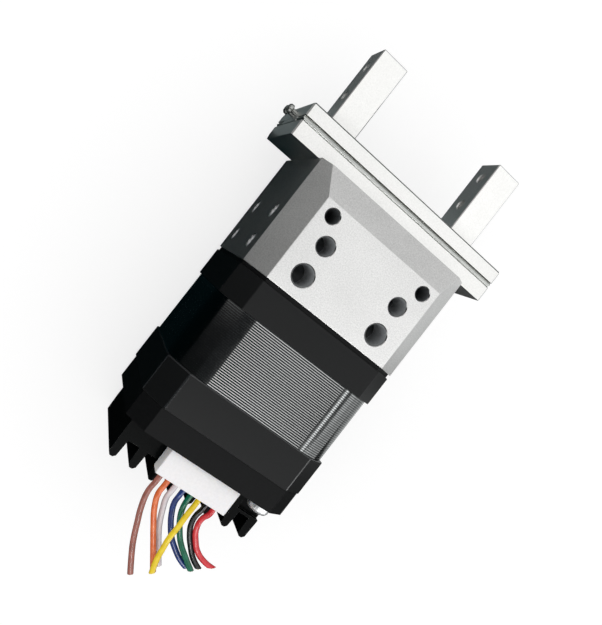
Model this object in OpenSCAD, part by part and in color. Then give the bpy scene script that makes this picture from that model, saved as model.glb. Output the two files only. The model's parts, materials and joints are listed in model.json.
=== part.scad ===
// Electric two finger gripper: a square stepper motor with its driver and heatsink behind it,
// and a machined body in front of it that holds a guide, a pinion, two racks and two fingers.
// It lies on its back: X is the fingers' travel, Y points to the fingertips, Z is up from the
// back face. Inside the modules the origin is on the motor axis, at the body's motor side.

/* [Square section] */
// Side of the motor and of the body
frame_w = 42.3; // [41:0.1:44]
// Chamfer along the body's and the caps' long edges
edge_chamfer = 5.0; // [4:0.1:6]
// Distance of a motor screw from the motor's faces
screw_inset = 5.65; // [5.45:0.05:5.95]

/* [Body] */
// Length of the body along the motor axis
body_len = 26.4; // [26:0.1:32]
// Length of the flat on the front face, before the upper slope
flat_len = 20.4; // [20:0.1:21.5]
// How far the slope falls back at the guide
slope_drop = 2.8; // [1:0.1:4]
// Depth of the tapped holes in the front face
front_hole_depth = 9; // [5:0.5:9]
// Depth of the tapped holes in the side faces
side_hole_depth = 5; // [3:0.5:5]
// Radius of the small front holes, tapped M4
small_hole_r = 1.65; // [1.25:0.05:1.9]
// Distance of the small front holes from the body's sides
small_hole_inset = 8.15; // [7.65:0.05:8.65]
// Height of the small front holes along the body
small_hole_y = 17.9; // [17.5:0.1:18.2]
// Radius of the medium front holes, tapped M5
medium_hole_r = 2.1; // [1.65:0.05:2.3]
// Distance of the medium and the large front holes from the body's sides
main_hole_inset = 10.85; // [10.65:0.05:11.35]
// Height of the medium front holes along the body
medium_hole_y = 12.3; // [11.5:0.1:12.6]
// Radius of the large front holes, tapped M6
large_hole_r = 2.5; // [2.1:0.05:2.6]
// Height of the large front holes along the body
large_hole_y = 4.8; // [4.8:0.1:5.5]
// Radius of the side holes, tapped M4
side_hole_r = 1.65; // [1.25:0.05:1.65]
// Height of the lower side holes along the body
side_hole_y = 4.4; // [3.5:0.1:4.6]
// Distance between the side holes along the body
side_pitch_y = 8; // [7:0.1:8.2]
// Distance between the side holes across the body
side_pitch_z = 20; // [16:0.5:21]
// Countersink at the mouth of each tapped hole
hole_bevel = 0.15; // [0.1:0.05:0.5]

/* [Guide] */
// Half the width of the guide
guide_half = 13.2; // [13:0.1:14]
// Thickness of the guide base
base_t = 3.9; // [3.8:0.1:5]
// Thickness of the hardened strips between base and cover
strip_t = 1.1; // [0.9:0.05:1.3]
// Thickness of the guide cover
cover_t = 3.2; // [3.1:0.1:4]
// How far the strips' outer edges lie behind the guide's faces
strip_recess = 0.35; // [0.2:0.05:0.6]
// Bevel along the guide's lower and upper rear edges
guide_bevel = 1.8; // [0.5:0.1:1.8]
// Floor of the guide base under the sliders
base_floor = 1.4; // [1.2:0.1:1.6]
// Roof of the guide cover over the sliders
cover_roof = 1.1; // [0.9:0.1:1.3]
// End wall of the guide
guide_end = 2.85; // [2:0.05:3]
// Distance of the outer cover screws from the guide's ends
cover_screw_end = 4.15; // [3.9:0.05:4.4]
// Half the distance between the inner cover screws
cover_screw_x = 8; // [6:0.5:10]
// Distance of the base screws from the guide's centre plane
base_screw_z = 10.1; // [10.05:0.05:10.1]
// Distance of the cover screws from the guide's centre plane
cover_screw_z = 9.4; // [9.3:0.05:9.4]
// How far the base screws reach into the body
base_screw_in = 5.4; // [4:0.1:6]

/* [Fingers] */
// How far an open finger's centre lies inside the body's side
finger_inset = 2.15; // [1.75:0.05:2.15]
// Space left between the closed fingers
closed_gap = 3.4; // [3.4:0.1:10]
// How far a slider reaches past its finger's centre
slider_tail = 6.5; // [6.3:0.1:7]
// Width of a finger along its travel
finger_w = 7; // [6:0.1:7]
// Depth of a finger
finger_d = 9; // [7:0.1:9.4]
// Length of a finger above the guide
finger_len = 21; // [18:0.5:35]
// Radius of the holes through a finger, tapped M3
finger_hole_r = 1.25; // [1:0.05:1.6]
// Height of the first finger hole above the guide
finger_hole_y = 8.9; // [8:0.1:9]
// Distance between the two finger holes
finger_hole_pitch = 8; // [6:0.5:8]

/* [Drive] */
// Tooth size of the pinion and of the racks
gear_module = 0.6; // [0.6:0.01:0.61]
// Number of teeth on the pinion
pinion_teeth = 16; // [16:2:16]
// Play between a pinion tooth and a rack tooth
backlash = 0.12; // [0.1:0.01:0.2]
// Face width of the pinion and of the racks
tooth_face = 5; // [4:0.1:5]
// Height of the pinion along the body
pinion_y = 17; // [16.5:0.1:17.2]
// Diameter of the motor shaft
shaft_d = 5; // [4.8:0.05:5]
// Thickness of a rack behind its teeth
rack_back = 1.75; // [1.6:0.05:1.8]

/* [Motor] */
// Thickness of the shim between the body and the motor
shim_t = 0.9; // [0.6:0.1:1.5]
// How far the shim lies behind the motor's faces
shim_inset = 0.4; // [0.3:0.1:1.5]
// Length of the front cap
front_cap_len = 7.2; // [7.2:0.1:9]
// Length of the laminated stator
stator_len = 16.5; // [15:0.5:30]
// Thickness of one lamination and its gap
lamination_pitch = 0.5; // [0.5:0.25:1.5]
// Depth of the line between two laminations
lamination_depth = 0.15; // [0.1:0.05:0.3]
// Corner radius of the laminations
stator_r = 9.0; // [8:0.1:9.2]
// Length of the rear cap
rear_cap_len = 8.9; // [8.9:0.1:12]
// Distance of the windings from the motor's faces
yoke = 3.95; // [3.8:0.05:4.6]
// Diameter of the locating boss on the front cap
boss_d = 22; // [20:0.5:22]
// Height of the locating boss
boss_h = 2.4; // [1.5:0.1:2.5]
// Distance of the rotor from the motor's faces
rotor_inset = 9.15; // [9.15:0.05:10]
// Outer diameter of the two ball bearings
bearing_d = 16; // [13:0.5:16]
// Width of the two ball bearings
bearing_w = 5; // [4:0.1:5]

/* [Driver] */
// How far the driver housing lies behind the motor's faces
housing_inset = 0.45; // [0.15:0.05:0.8]
// Chamfer along the driver housing's long edges
housing_chamfer = 4.3; // [3.8:0.1:4.8]
// Length of the driver housing
housing_len = 6; // [6:0.1:9]
// Wall of the driver housing
housing_wall = 1.1; // [0.9:0.05:1.2]
// Thickness of the driver's circuit board
board_t = 1.2; // [1:0.1:1.6]
// Thickness of the heatsink under its fins
sink_base = 5.0; // [3:0.1:6]
// Height of the heatsink's fins
fin_h = 4.6; // [3:0.1:8]
// Number of fins
fin_count = 8; // [6:1:9]
// Thickness of a fin at its root
fin_t = 2.1; // [1.4:0.1:2.4]
// Distance of the heatsink's sides from the motor's faces
sink_inset = 2.85; // [2.65:0.05:3.6]
// Front edge of the heatsink above the motor axis
sink_front = 14; // [12:0.1:14.2]
// Rear edge of the heatsink below the motor axis
sink_rear = 17.6; // [11:0.1:17.8]

/* [Connector] */
// Number of ways in the plug
ways = 8; // [8:1:8]
// Distance between neighbouring ways
way_pitch = 2; // [2:0.01:2]
// Thickness of the plug
plug_t = 4.8; // [4.5:0.05:4.9]
// Length of the plug that stands out of the housing
plug_out = 6.2; // [5:0.1:8]
// Height of the header on the board
header_h = 2.6; // [2:0.1:2.8]
// Length of a pin past the header
pin_out = 3.4; // [2.5:0.1:3.6]
// Diameter of a lead
lead_d = 1.3; // [1:0.05:1.5]

/* [Hidden] */
$fn = 48;

// Fits
slide_gap = 0.15;     // between a slider and the guide
run_gap = 0.02;       // round the shaft, radial
seat_gap = 0.02;      // round a seated bearing or pin, radial
free_gap = 0.3;       // between pieces that only pass each other
eps = 0.01;           // lets one cut run past another

// Places along the motor axis, from the body's motor side at 0
guide_y0 = body_len;
strip_y0 = guide_y0 + base_t;
cover_y0 = strip_y0 + strip_t;
guide_y1 = cover_y0 + cover_t;
tip_y = guide_y1 + finger_len;
front_cap_y = -shim_t;
stator_y = front_cap_y - front_cap_len;
rear_cap_y = stator_y - stator_len;
housing_y = rear_cap_y - rear_cap_len;
housing_end = housing_y - housing_len;
fin_end = housing_end - sink_base - fin_h;
face_y = -(tip_y + fin_end) / 2;        // puts the middle of the whole length at Y = 0

half = frame_w / 2;
sp = half - screw_inset;
small_hole_x = half - small_hole_inset;
main_hole_x = half - main_hole_inset;
housing_w = frame_w - 2 * housing_inset;
sink_w = frame_w - 2 * sink_inset;
rotor_d = frame_w - 2 * rotor_inset;
m2_r = 1.0;
m25_r = 1.25;
m3_r = 1.5;

// Finger's centre when open, and its travel
finger_x = half - finger_inset;
stroke = finger_x - finger_w / 2 - closed_gap / 2;

// Slider in the guide
slider_half = 7.4;
slider_y0 = guide_y0 + base_floor + 0.2;
slider_y1 = guide_y1 - cover_roof - slide_gap;
slider_out = finger_x + slider_tail;    // outer end of a slider, fully open
slider_in = stroke + 0.2;               // inner end, just short of the other slider when closed
channel_half = slider_half + slide_gap;
channel_end = slider_out + free_gap;
guide_len = 2 * (channel_end + guide_end);
strip_in = slider_half - 1.0;           // inner edge of a strip, inside the slider's groove

// Rack and pinion
pitch_r = gear_module * pinion_teeth / 2;
tooth_pitch = PI * gear_module;
addendum = gear_module;
dedendum = 1.25 * gear_module;
pressure = 20;
rack_root = pitch_r + dedendum;
rack_outer = rack_root + rack_back;
rack_end = 3.2;                         // free end of a rack past the pinion's centre
leg_out = finger_x - 0.5;
leg_in = finger_x - 4.5;
flange_z = 1.85;
flange_y = slider_y0 - 1.2;
pocket_half = rack_outer + 0.6;
pocket_x = leg_out + 0.7;
pocket_y = pinion_y - 1.5;
window_in = finger_x - 4.5 - stroke - 0.5;

// Motor inside
bearing_r = bearing_d / 2;
winding_out = half - yoke;
winding_in = rotor_d / 2 + 0.6;
coil_r = 2;
cavity_r = winding_out + 0.5;
front_winding_h = 4.2;
rear_winding_h = 3.4;
magnet_r = 3;
magnet_h = 1.2;
shaft_end = housing_y + 1.4;

// Connector
plug_w = way_pitch * (ways - 1) + 3.9;
plug_front = housing_w / 2 - housing_wall - 0.1;
plug_back = plug_front - plug_t;
plug_z = (plug_front + plug_back) / 2;
plug_end = housing_end - plug_out;
board_y = housing_y - 0.6;

// ---------------------------------------------------------------- helpers

// From the motor axis frame to the part's own frame
module place() translate([0, face_y, half]) children();

// A bar along Y from y0 to y1 whose outline is drawn in X and Z
module along_y(y0, y1) translate([0, y1, 0]) rotate([90, 0, 0]) linear_extrude(y1 - y0) children();

// A straight round bar or hole along Y, Z or X
module rod_y(x, z, y0, y1, r) translate([x, y1, z]) rotate([90, 0, 0]) cylinder(h = y1 - y0, r = r);
module rod_z(x, y, z0, z1, r) translate([x, y, z0]) cylinder(h = z1 - z0, r = r);
module rod_x(y, z, x0, x1, r) translate([x0, y, z]) rotate([0, 90, 0]) cylinder(h = x1 - x0, r = r);

module box(x0, x1, y0, y1, z0, z1) translate([x0, y0, z0]) cube([x1 - x0, y1 - y0, z1 - z0]);

module chamfered_square(w, c) {
  h = w / 2;
  polygon([[-h, -h + c], [-h + c, -h], [h - c, -h], [h, -h + c],
           [h, h - c], [h - c, h], [-h + c, h], [-h, h - c]]);
}

module rounded_square(w, r) {
  square([w, w - 2 * r], center = true);
  square([w - 2 * r, w], center = true);
  for (x = [-1, 1], z = [-1, 1]) translate([x * (w / 2 - r), z * (w / 2 - r)]) circle(r);
}

// The four corners of the motor's screw square
module at_corners() for (x = [-sp, sp], z = [-sp, sp]) translate([x, 0, z]) children();

// The right jaw is the left one turned half round the motor axis
module opposite() rotate([0, 180, 0]) children();

// A tapped hole down from the front face, with its countersink
module front_hole(x, y, r) {
  rod_z(x, y, half - front_hole_depth, half + eps, r);
  translate([x, y, half - hole_bevel]) cylinder(h = hole_bevel + eps, r1 = r, r2 = r + hole_bevel + eps);
}

// A tapped hole into the side face at +X, with its countersink
module side_hole(y, z) {
  rod_x(y, z, half - side_hole_depth, half + eps, side_hole_r);
  translate([half - hole_bevel, y, z]) rotate([0, 90, 0])
    cylinder(h = hole_bevel + eps, r1 = side_hole_r, r2 = side_hole_r + hole_bevel + eps);
}

// A countersunk screw down along Y: top of the head at y1, tip at y0
module flat_screw(x, z, y0, y1, r, head_r, head_h, hex) {
  difference() {
    union() {
      rod_y(x, z, y0, y1 - head_h + eps, r);
      translate([x, y1 - head_h, z]) rotate([-90, 0, 0]) cylinder(h = head_h, r1 = r, r2 = head_r);
    }
    translate([x, y1 - head_h * 0.6, z]) rotate([-90, 0, 0]) cylinder(h = head_h, r = hex, $fn = 6);
  }
}

module flat_seat(x, z, y0, y1, r, head_r, head_h) {
  rod_y(x, z, y0, y1 + eps, r);
  translate([x, y1 - head_h, z]) rotate([-90, 0, 0])
    cylinder(h = head_h + eps, r1 = r, r2 = head_r + seat_gap + eps);
}

// ---------------------------------------------------------------- body

base_screw_x = finger_x - 3;
base_screw_y0 = guide_y0 - base_screw_in;
base_screws_at = [for (x = [-1, 1], z = [-1, 1]) [x * base_screw_x, z * base_screw_z]];
outer_screw_x = guide_len / 2 - cover_screw_end;
cover_screw_xs = [-outer_screw_x, -cover_screw_x, cover_screw_x, outer_screw_x];
cover_screw_y0 = guide_y0 + 0.8;
motor_screw_in = 6.5;

module gripper_body() color("#d9dad9") difference() {
  intersection() {
    along_y(0, body_len) chamfered_square(frame_w, edge_chamfer);
    // side view: the front and back faces slope in towards the guide
    translate([-half - 1, 0, 0]) rotate([90, 0, 90]) linear_extrude(frame_w + 2)
      polygon([[0, -half], [flat_len, -half], [body_len, -half + slope_drop],
               [body_len, half - slope_drop], [flat_len, half], [0, half]]);
  }
  // pocket of the racks, open to the guide
  box(-pocket_x, pocket_x, pocket_y, body_len + 1, -pocket_half, pocket_half);
  // way of the shaft, and the seat of the motor's boss
  rod_y(0, 0, -1, pocket_y + 1, shaft_d / 2 + 2);
  rod_y(0, 0, -1, boss_h - shim_t + free_gap, boss_d / 2 + 0.05);
  at_corners() rod_y(0, 0, -1, motor_screw_in + 0.6, m3_r + seat_gap);
  for (p = base_screws_at) rod_y(p[0], p[1], base_screw_y0 - 0.6, body_len + 1, m25_r + seat_gap);
  for (s = [-1, 1]) {
    front_hole(s * small_hole_x, small_hole_y, small_hole_r);
    front_hole(s * main_hole_x, medium_hole_y, medium_hole_r);
    front_hole(s * main_hole_x, large_hole_y, large_hole_r);
  }
  for (turn = [0, 180], y = [side_hole_y, side_hole_y + side_pitch_y], z = [-1, 1])
    rotate([0, turn, 0]) side_hole(y, z * side_pitch_z / 2);
}

// ---------------------------------------------------------------- guide

// Outline of the guide across its length, in Y and Z, with its rear edges bevelled
module guide_section(y0, y1, bevel0, bevel1)
  rotate([90, 0, 90]) translate([0, 0, -guide_len / 2]) linear_extrude(guide_len)
    polygon([[y0, guide_half], [y0, -guide_half + bevel0], [y0 + bevel0, -guide_half],
             [y1 - bevel1, -guide_half], [y1, -guide_half + bevel1], [y1, guide_half]]);

module guide_base() color("#d9dad9") difference() {
  guide_section(guide_y0, strip_y0, guide_bevel, 0);
  // channel of the sliders
  box(-channel_end, channel_end, guide_y0 + base_floor, strip_y0 + 1, -channel_half, channel_half);
  // windows for the legs of the racks
  for (turn = [0, 180]) rotate([0, turn, 0])
    box(-leg_out - free_gap, -window_in + free_gap, guide_y0 - 1, strip_y0,
        flange_z - free_gap, rack_outer + free_gap);
  for (p = base_screws_at) flat_seat(p[0], p[1], guide_y0 - 1, strip_y0, m25_r + seat_gap, 2.3, 1.4);
  for (x = cover_screw_xs, z = [-1, 1])
    rod_y(x, z * cover_screw_z, cover_screw_y0 - 0.3, strip_y0 + 1, m2_r + seat_gap);
}

module guide_cover() color("#d9dad9") difference() {
  guide_section(cover_y0, guide_y1, 0, guide_bevel);
  box(-channel_end, channel_end, cover_y0 - 1, guide_y1 - cover_roof, -channel_half, channel_half);
  // slot that the fingers stand in
  box(-finger_x - finger_w / 2 - free_gap, finger_x + finger_w / 2 + free_gap,
      cover_y0, guide_y1 + 1, -finger_d / 2 - 0.2, finger_d / 2 + 0.2);
  for (x = cover_screw_xs, z = [-1, 1])
    flat_seat(x, z * cover_screw_z, cover_y0 - 1, guide_y1, m2_r + seat_gap, 1.9, 1.1);
  for (z = stud_zs, s = [-1, 1]) stud_hole(s, z);
}

// A hardened strip clamped between base and cover; its inner edge runs in the sliders' grooves
module strip() color("#8d9092") difference() {
  box(-guide_len / 2, guide_len / 2, strip_y0, cover_y0, strip_in, guide_half - strip_recess);
  for (x = cover_screw_xs) rod_y(x, cover_screw_z, strip_y0 - 1, cover_y0 + 1, m2_r + seat_gap);
}

module upper_guide_strip() strip();
module lower_guide_strip() opposite() strip();

module base_screws() color("#4a4d50")
  for (p = base_screws_at) flat_screw(p[0], p[1], base_screw_y0, strip_y0, m25_r, 2.25, 1.4, 0.75);

module cover_screws() color("#4a4d50")
  for (x = cover_screw_xs, z = [-1, 1])
    flat_screw(x, z * cover_screw_z, cover_screw_y0, guide_y1, m2_r, 1.9, 1.1, 0.65);

// Small round headed studs in the guide's end face
stud_zs = [-2.4, 0.4];
stud_y = cover_y0 + 1.4;
stud_r = 0.6;
stud_in = 1.8;
module stud_hole(side, z) rod_x(stud_y, z, side < 0 ? -guide_len / 2 - 1 : guide_len / 2 - stud_in - 0.2,
  side < 0 ? -guide_len / 2 + stud_in + 0.2 : guide_len / 2 + 1, stud_r + seat_gap);
module end_studs() color("#6a6f70")
  for (s = [0, 180], z = stud_zs) translate([0, stud_y, z]) rotate([0, 0, s])
    rotate([0, -90, 0]) rotate_extrude() polygon([[0, guide_len / 2 - stud_in], [stud_r, guide_len / 2 - stud_in],
      [stud_r, guide_len / 2 + 0.9], [1.1, guide_len / 2 + 1.1], [1.1, guide_len / 2 + 1.8],
      [0.7, guide_len / 2 + 2.2], [0, guide_len / 2 + 2.3]]);

// ---------------------------------------------------------------- jaws

finger_screw_off = 1.8;
finger_screw_x = finger_x + finger_screw_off;
finger_screw_z = 2.3;
finger_screw_in = 4.5;
rack_screw_x = finger_x - 3;
rack_screw_z = 3.6;

module finger_body() color("#dcdddc") difference() {
  box(-finger_x - finger_w / 2, -finger_x + finger_w / 2, slider_y1, tip_y, -finger_d / 2, finger_d / 2);
  for (k = [0, 1]) finger_hole(guide_y1 + finger_hole_y + k * finger_hole_pitch);
  for (z = [-1, 1]) rod_y(-finger_screw_x, z * finger_screw_z, slider_y1 - 1,
    slider_y1 + finger_screw_in + 0.4, m2_r + seat_gap);
}

// A hole through the finger along X, countersunk at both mouths
module finger_hole(y) {
  x0 = -finger_x - finger_w / 2;
  rod_x(y, 0, x0 - 1, x0 + finger_w + 1, finger_hole_r);
  translate([x0 - eps, y, 0]) rotate([0, 90, 0]) cylinder(h = 0.3, r1 = finger_hole_r + 0.3, r2 = finger_hole_r);
  translate([x0 + finger_w + eps, y, 0]) rotate([0, -90, 0])
    cylinder(h = 0.3, r1 = finger_hole_r + 0.3, r2 = finger_hole_r);
}

// Grooved carriage that runs on the two strips
module slider_body() color("#9b9fa1") difference() {
  box(-slider_out, -slider_in, slider_y0, slider_y1, -slider_half, slider_half);
  for (s = [-1, 1]) box(-slider_out - 1, -slider_in + 1, strip_y0 - 0.08, cover_y0 + 0.08,
    s > 0 ? strip_in - slide_gap : -slider_half - 1, s > 0 ? slider_half + 1 : -strip_in + slide_gap);
  for (z = [-1, 1]) {
    rod_y(-finger_screw_x, z * finger_screw_z, slider_y0 - 1, slider_y1 + 1, m2_r + seat_gap);
    rod_y(-finger_screw_x, z * finger_screw_z, slider_y0 - 1, slider_y0 + 1.6, 1.95);
  }
  rod_y(-rack_screw_x, rack_screw_z, slider_y0 - 1, slider_y0 + 3.2, m2_r + seat_gap);
}

// Cap screw up along Y: head from y0, shank to y1
module cap_screw(x, z, y0, y1, r, head_r, head_h) difference() {
  union() {
    rod_y(x, z, y0, y0 + head_h, head_r);
    rod_y(x, z, y0 + head_h - eps, y1, r);
  }
  translate([x, y0 + head_h * 0.5, z]) rotate([90, 0, 0]) cylinder(h = head_h, r = head_r * 0.5, $fn = 6);
}

module finger_screw_pair() color("#4a4d50") for (z = [-1, 1])
  cap_screw(-finger_screw_x, z * finger_screw_z, slider_y0 + 0.1, slider_y1 + finger_screw_in, m2_r, 1.9, 1.5);

module rack_screw() color("#4a4d50")
  cap_screw(-rack_screw_x, rack_screw_z, flange_y - 1.2, slider_y0 + 3, m2_r, 1.7, 1.2);

// Rack with its leg and flange; one tooth is centred under the pinion's centre when open
rack_teeth_from = -ceil((stroke + 2.5) / tooth_pitch);
module rack_body() {
  tooth_half = tooth_pitch / 4 - backlash / 4;
  slope = tan(pressure);
  color("#7f8385") difference() {
    union() {
      box(-leg_out, rack_end, pinion_y, pinion_y + tooth_face, rack_root, rack_outer);
      translate([0, pinion_y + tooth_face, 0]) rotate([90, 0, 0]) linear_extrude(tooth_face)
        for (k = [rack_teeth_from:1]) translate([k * tooth_pitch, 0])
          polygon([[-tooth_half - dedendum * slope, rack_root + eps], [-tooth_half + addendum * slope, pitch_r - addendum],
                   [tooth_half - addendum * slope, pitch_r - addendum], [tooth_half + dedendum * slope, rack_root + eps]]);
      box(-leg_out, -leg_in, pinion_y + tooth_face - eps, slider_y0, rack_root + 0.2, rack_outer);
      box(-leg_out, -leg_in, flange_y, slider_y0, flange_z, rack_outer);
    }
    rod_y(-rack_screw_x, rack_screw_z, flange_y - 1, slider_y0 + 1, m2_r + seat_gap);
  }
}

module left_finger() finger_body();
module left_slider() slider_body();
module left_rack() rack_body();
module left_finger_screws() finger_screw_pair();
module left_rack_screw() rack_screw();
module right_finger() opposite() finger_body();
module right_slider() opposite() slider_body();
module right_rack() opposite() rack_body();
module right_finger_screws() opposite() finger_screw_pair();
module right_rack_screw() opposite() rack_screw();

// ---------------------------------------------------------------- rotor

// Involute flank: angle round the gear at radius r, from the flank's foot on the base circle
function involute(rb, r) = let(t = sqrt(max(0, pow(r / rb, 2) - 1))) t * 180 / PI - atan(t);
function on_circle(r, a) = [r * cos(a), r * sin(a)];

module pinion_outline() {
  rb = pitch_r * cos(pressure);
  ra = pitch_r + addendum;
  rf = pitch_r - dedendum;
  half_tooth = 90 / pinion_teeth - backlash / 4 / pitch_r * 180 / PI;
  steps = 4;
  flank = [for (i = [0:steps]) let(r = rb + (ra - rb) * i / steps)
    [r, half_tooth + involute(rb, pitch_r) - involute(rb, r)]];
  polygon([for (k = [0:pinion_teeth - 1]) let(a = 90 + (k + 0.5) * 360 / pinion_teeth) each concat(
    [on_circle(rf, a - flank[0][1])],
    [for (p = flank) on_circle(p[0], a - p[1])],
    [for (i = [steps:-1:0]) on_circle(flank[i][0], a + flank[i][1])],
    [on_circle(rf, a + flank[0][1])])]);
}

module pinion() color("#a9acae") difference() {
  along_y(pinion_y, pinion_y + tooth_face) pinion_outline();
  rod_y(0, 0, pinion_y - 1, pinion_y + tooth_face + 1, shaft_d / 2 + seat_gap);
}

module motor_shaft() color("#c3c5c6") rod_y(0, 0, shaft_end, pinion_y + tooth_face + 0.6, shaft_d / 2);

// Two toothed iron cups with a magnet disc between them
rotor_margin = 1;
module rotor_core() color("#55585a") difference() {
  union() {
    rod_y(0, 0, rear_cap_y + rotor_margin, stator_y - rotor_margin, rotor_d / 2 - 0.6);
    for (end = [0, 1]) {
      cup = (stator_len - 2 * rotor_margin - 2) / 2;
      y0 = rear_cap_y + rotor_margin + end * (cup + 2);
      rod_y(0, 0, y0, y0 + cup, rotor_d / 2);
    }
  }
  rod_y(0, 0, rear_cap_y, stator_y, shaft_d / 2 + seat_gap);
}

module sensor_magnet() color("#77797b") rod_y(0, 0, shaft_end - magnet_h, shaft_end, magnet_r);

// ---------------------------------------------------------------- motor

module motor_shim() color("#141414") difference() {
  along_y(-shim_t, 0) chamfered_square(frame_w - 2 * shim_inset, edge_chamfer);
  rod_y(0, 0, -shim_t - 1, 1, boss_d / 2 + 0.2);
  at_corners() rod_y(0, 0, -shim_t - 1, 1, m3_r + 0.1);
}

front_seat = front_cap_y + boss_h - 1.2;    // front end of the front bearing
module motor_front_cap() color("#1d1f20") difference() {
  union() {
    along_y(stator_y, front_cap_y) chamfered_square(frame_w, edge_chamfer);
    rod_y(0, 0, front_cap_y - 1, front_cap_y + boss_h, boss_d / 2);
  }
  rod_y(0, 0, stator_y - 1, stator_y + front_winding_h + 0.5, cavity_r);
  rod_y(0, 0, stator_y, front_seat, bearing_r + seat_gap);
  rod_y(0, 0, stator_y, front_cap_y + boss_h + 1, shaft_d / 2 + 1);
  at_corners() rod_y(0, 0, stator_y - 1, front_cap_y + 1, m3_r + 0.1);
}

// A shielded ball bearing, turned about its own axis
module bearing(y0) {
  r0 = shaft_d / 2 + run_gap;
  shield = 0.4;
  color("#b9bcbe") translate([0, y0 + bearing_w, 0]) rotate([90, 0, 0]) rotate_extrude()
    polygon([[r0, 0], [r0 + 1.6, 0], [r0 + 1.6, shield], [bearing_r - 1.6, shield], [bearing_r - 1.6, 0],
             [bearing_r, 0], [bearing_r, bearing_w], [bearing_r - 1.6, bearing_w],
             [bearing_r - 1.6, bearing_w - shield], [r0 + 1.6, bearing_w - shield],
             [r0 + 1.6, bearing_w], [r0, bearing_w]]);
}
module front_bearing() bearing(front_seat - bearing_w);
module rear_bearing() bearing(rear_seat);

// Coil ends on the poles, one lobe a pole on a common ring
poles = 8;
module winding(y0, y1) color("#a5562c") along_y(y0, y1) difference() {
  union() {
    circle(winding_out - coil_r * 0.8);
    for (k = [0:poles - 1]) rotate((k + 0.5) * 360 / poles) translate([winding_out - coil_r, 0]) circle(coil_r);
  }
  circle(winding_in);
}
module front_winding() winding(stator_y, stator_y + front_winding_h);
module rear_winding() winding(rear_cap_y - rear_winding_h, rear_cap_y);

// Stamped sheets with rounded corners; a fine line shows between each two
module stator_stack() {
  sheets = floor(stator_len / lamination_pitch);
  pitch = stator_len / sheets;
  color("#b9bcbe") difference() {
    union() {
      along_y(rear_cap_y, stator_y) rounded_square(frame_w - 2 * lamination_depth, stator_r - lamination_depth);
      for (k = [0:sheets - 1]) translate([0, rear_cap_y + (k + 0.15) * pitch, 0])
        along_y(0, pitch * 0.7) rounded_square(frame_w, stator_r);
    }
    rod_y(0, 0, rear_cap_y - 1, stator_y + 1, rotor_d / 2 + 0.1);
    at_corners() rod_y(0, 0, rear_cap_y - 1, stator_y + 1, m3_r + 0.1);
  }
}

rear_seat = housing_y + 1.2 + magnet_h;
module motor_rear_cap() color("#1d1f20") difference() {
  along_y(housing_y, rear_cap_y) chamfered_square(frame_w, edge_chamfer);
  rod_y(0, 0, rear_cap_y - rear_winding_h - 0.3, rear_cap_y + 1, cavity_r);
  rod_y(0, 0, rear_seat, rear_cap_y, bearing_r + seat_gap);
  rod_y(0, 0, housing_y - 1, rear_cap_y, magnet_r + 0.5);
  at_corners() rod_y(0, 0, housing_y - 1, rear_cap_y + 1, m3_r + 0.1);
}

// Long screws through driver housing and motor into the body. The heatsink lies over three of
// them, so those have flat heads; the fourth has a pan head in the heatsink's open corner.
flat_r = 2.75;
flat_h = 1.65;
covered_at = [[-sp, sp], [-sp, -sp], [sp, -sp]];
module motor_screws() color("#4a4d50") for (p = covered_at) difference() {
  union() {
    rod_y(p[0], p[1], housing_end + eps, motor_screw_in, m3_r);
    translate([p[0], housing_end, p[1]]) rotate([-90, 0, 0]) cylinder(h = flat_h, r1 = flat_r, r2 = m3_r);
  }
  translate([p[0], housing_end - 1, p[1]]) rotate([-90, 0, 0]) cylinder(h = 2, r = 1, $fn = 6);
}

pan_r = 2.75;
pan_h = 2.4;
module pan_head_screw() color("#c9cbcc") difference() {
  union() {
    rod_y(sp, sp, housing_end - eps, motor_screw_in, m3_r);
    translate([sp, housing_end, sp]) rotate([90, 0, 0]) rotate_extrude()
      polygon([[0, 0], [pan_r, 0], [pan_r, pan_h * 0.62], [pan_r * 0.86, pan_h * 0.88],
               [pan_r * 0.6, pan_h], [0, pan_h]]);
  }
  translate([sp, housing_end - pan_h - 0.1, sp]) rotate([-90, 0, 0]) cylinder(h = 1.5, r = 1.2, $fn = 6);
}

// ---------------------------------------------------------------- driver

module driver_housing() color("#17191a") difference() {
  along_y(housing_end, housing_y) chamfered_square(housing_w, housing_chamfer);
  difference() {
    along_y(housing_end + housing_wall, housing_y + 1)
      chamfered_square(housing_w - 2 * housing_wall, housing_chamfer);
    at_corners() rod_y(0, 0, housing_end, housing_y + 2, m3_r + 1.6);
  }
  at_corners() rod_y(0, 0, housing_end - 1, housing_y + 1, m3_r + 0.1);
  for (p = covered_at) translate([p[0], housing_end - eps, p[1]]) rotate([-90, 0, 0])
    cylinder(h = flat_h + eps, r1 = flat_r + seat_gap + eps, r2 = m3_r + 0.1);
  // windows for the plug and for the heatsink's foot
  box(-plug_w / 2 - 0.1, plug_w / 2 + 0.1, housing_end - 1, housing_y - 1, plug_back - 0.1, plug_front + 0.1 - eps);
  box(-foot_half, foot_half, housing_end - 1, housing_y - 1, -foot_half + 1, foot_half - 1);
  for (p = sink_screws_at) rod_y(p[0], p[1], housing_end - 1, housing_y - 1, m2_r + 0.1);
}

board_half = housing_w / 2 - housing_wall - 0.3;
module driver_board() color("#1f5a3c") difference() {
  along_y(board_y - board_t, board_y) chamfered_square(2 * board_half, edge_chamfer);
  at_corners() rod_y(0, 0, board_y - board_t - 1, board_y + 1, m3_r + 1.9);
  for (k = [0:ways - 1]) rod_y(way_x(k), plug_z, board_y - board_t - 1, board_y + 1, 0.4);
}

chip_h = 0.5;
chip_x = 6;
chip_half = 3;
module sensor_chip() color("#202224") box(-2, 2, board_y, board_y + chip_h, -2, 2);

driver_chip_h = 1.0;
module driver_chips() color("#202224") for (s = [-1, 1])
  box(s * chip_x - chip_half, s * chip_x + chip_half, board_y - board_t - driver_chip_h, board_y - board_t,
      -chip_half, chip_half);

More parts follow.
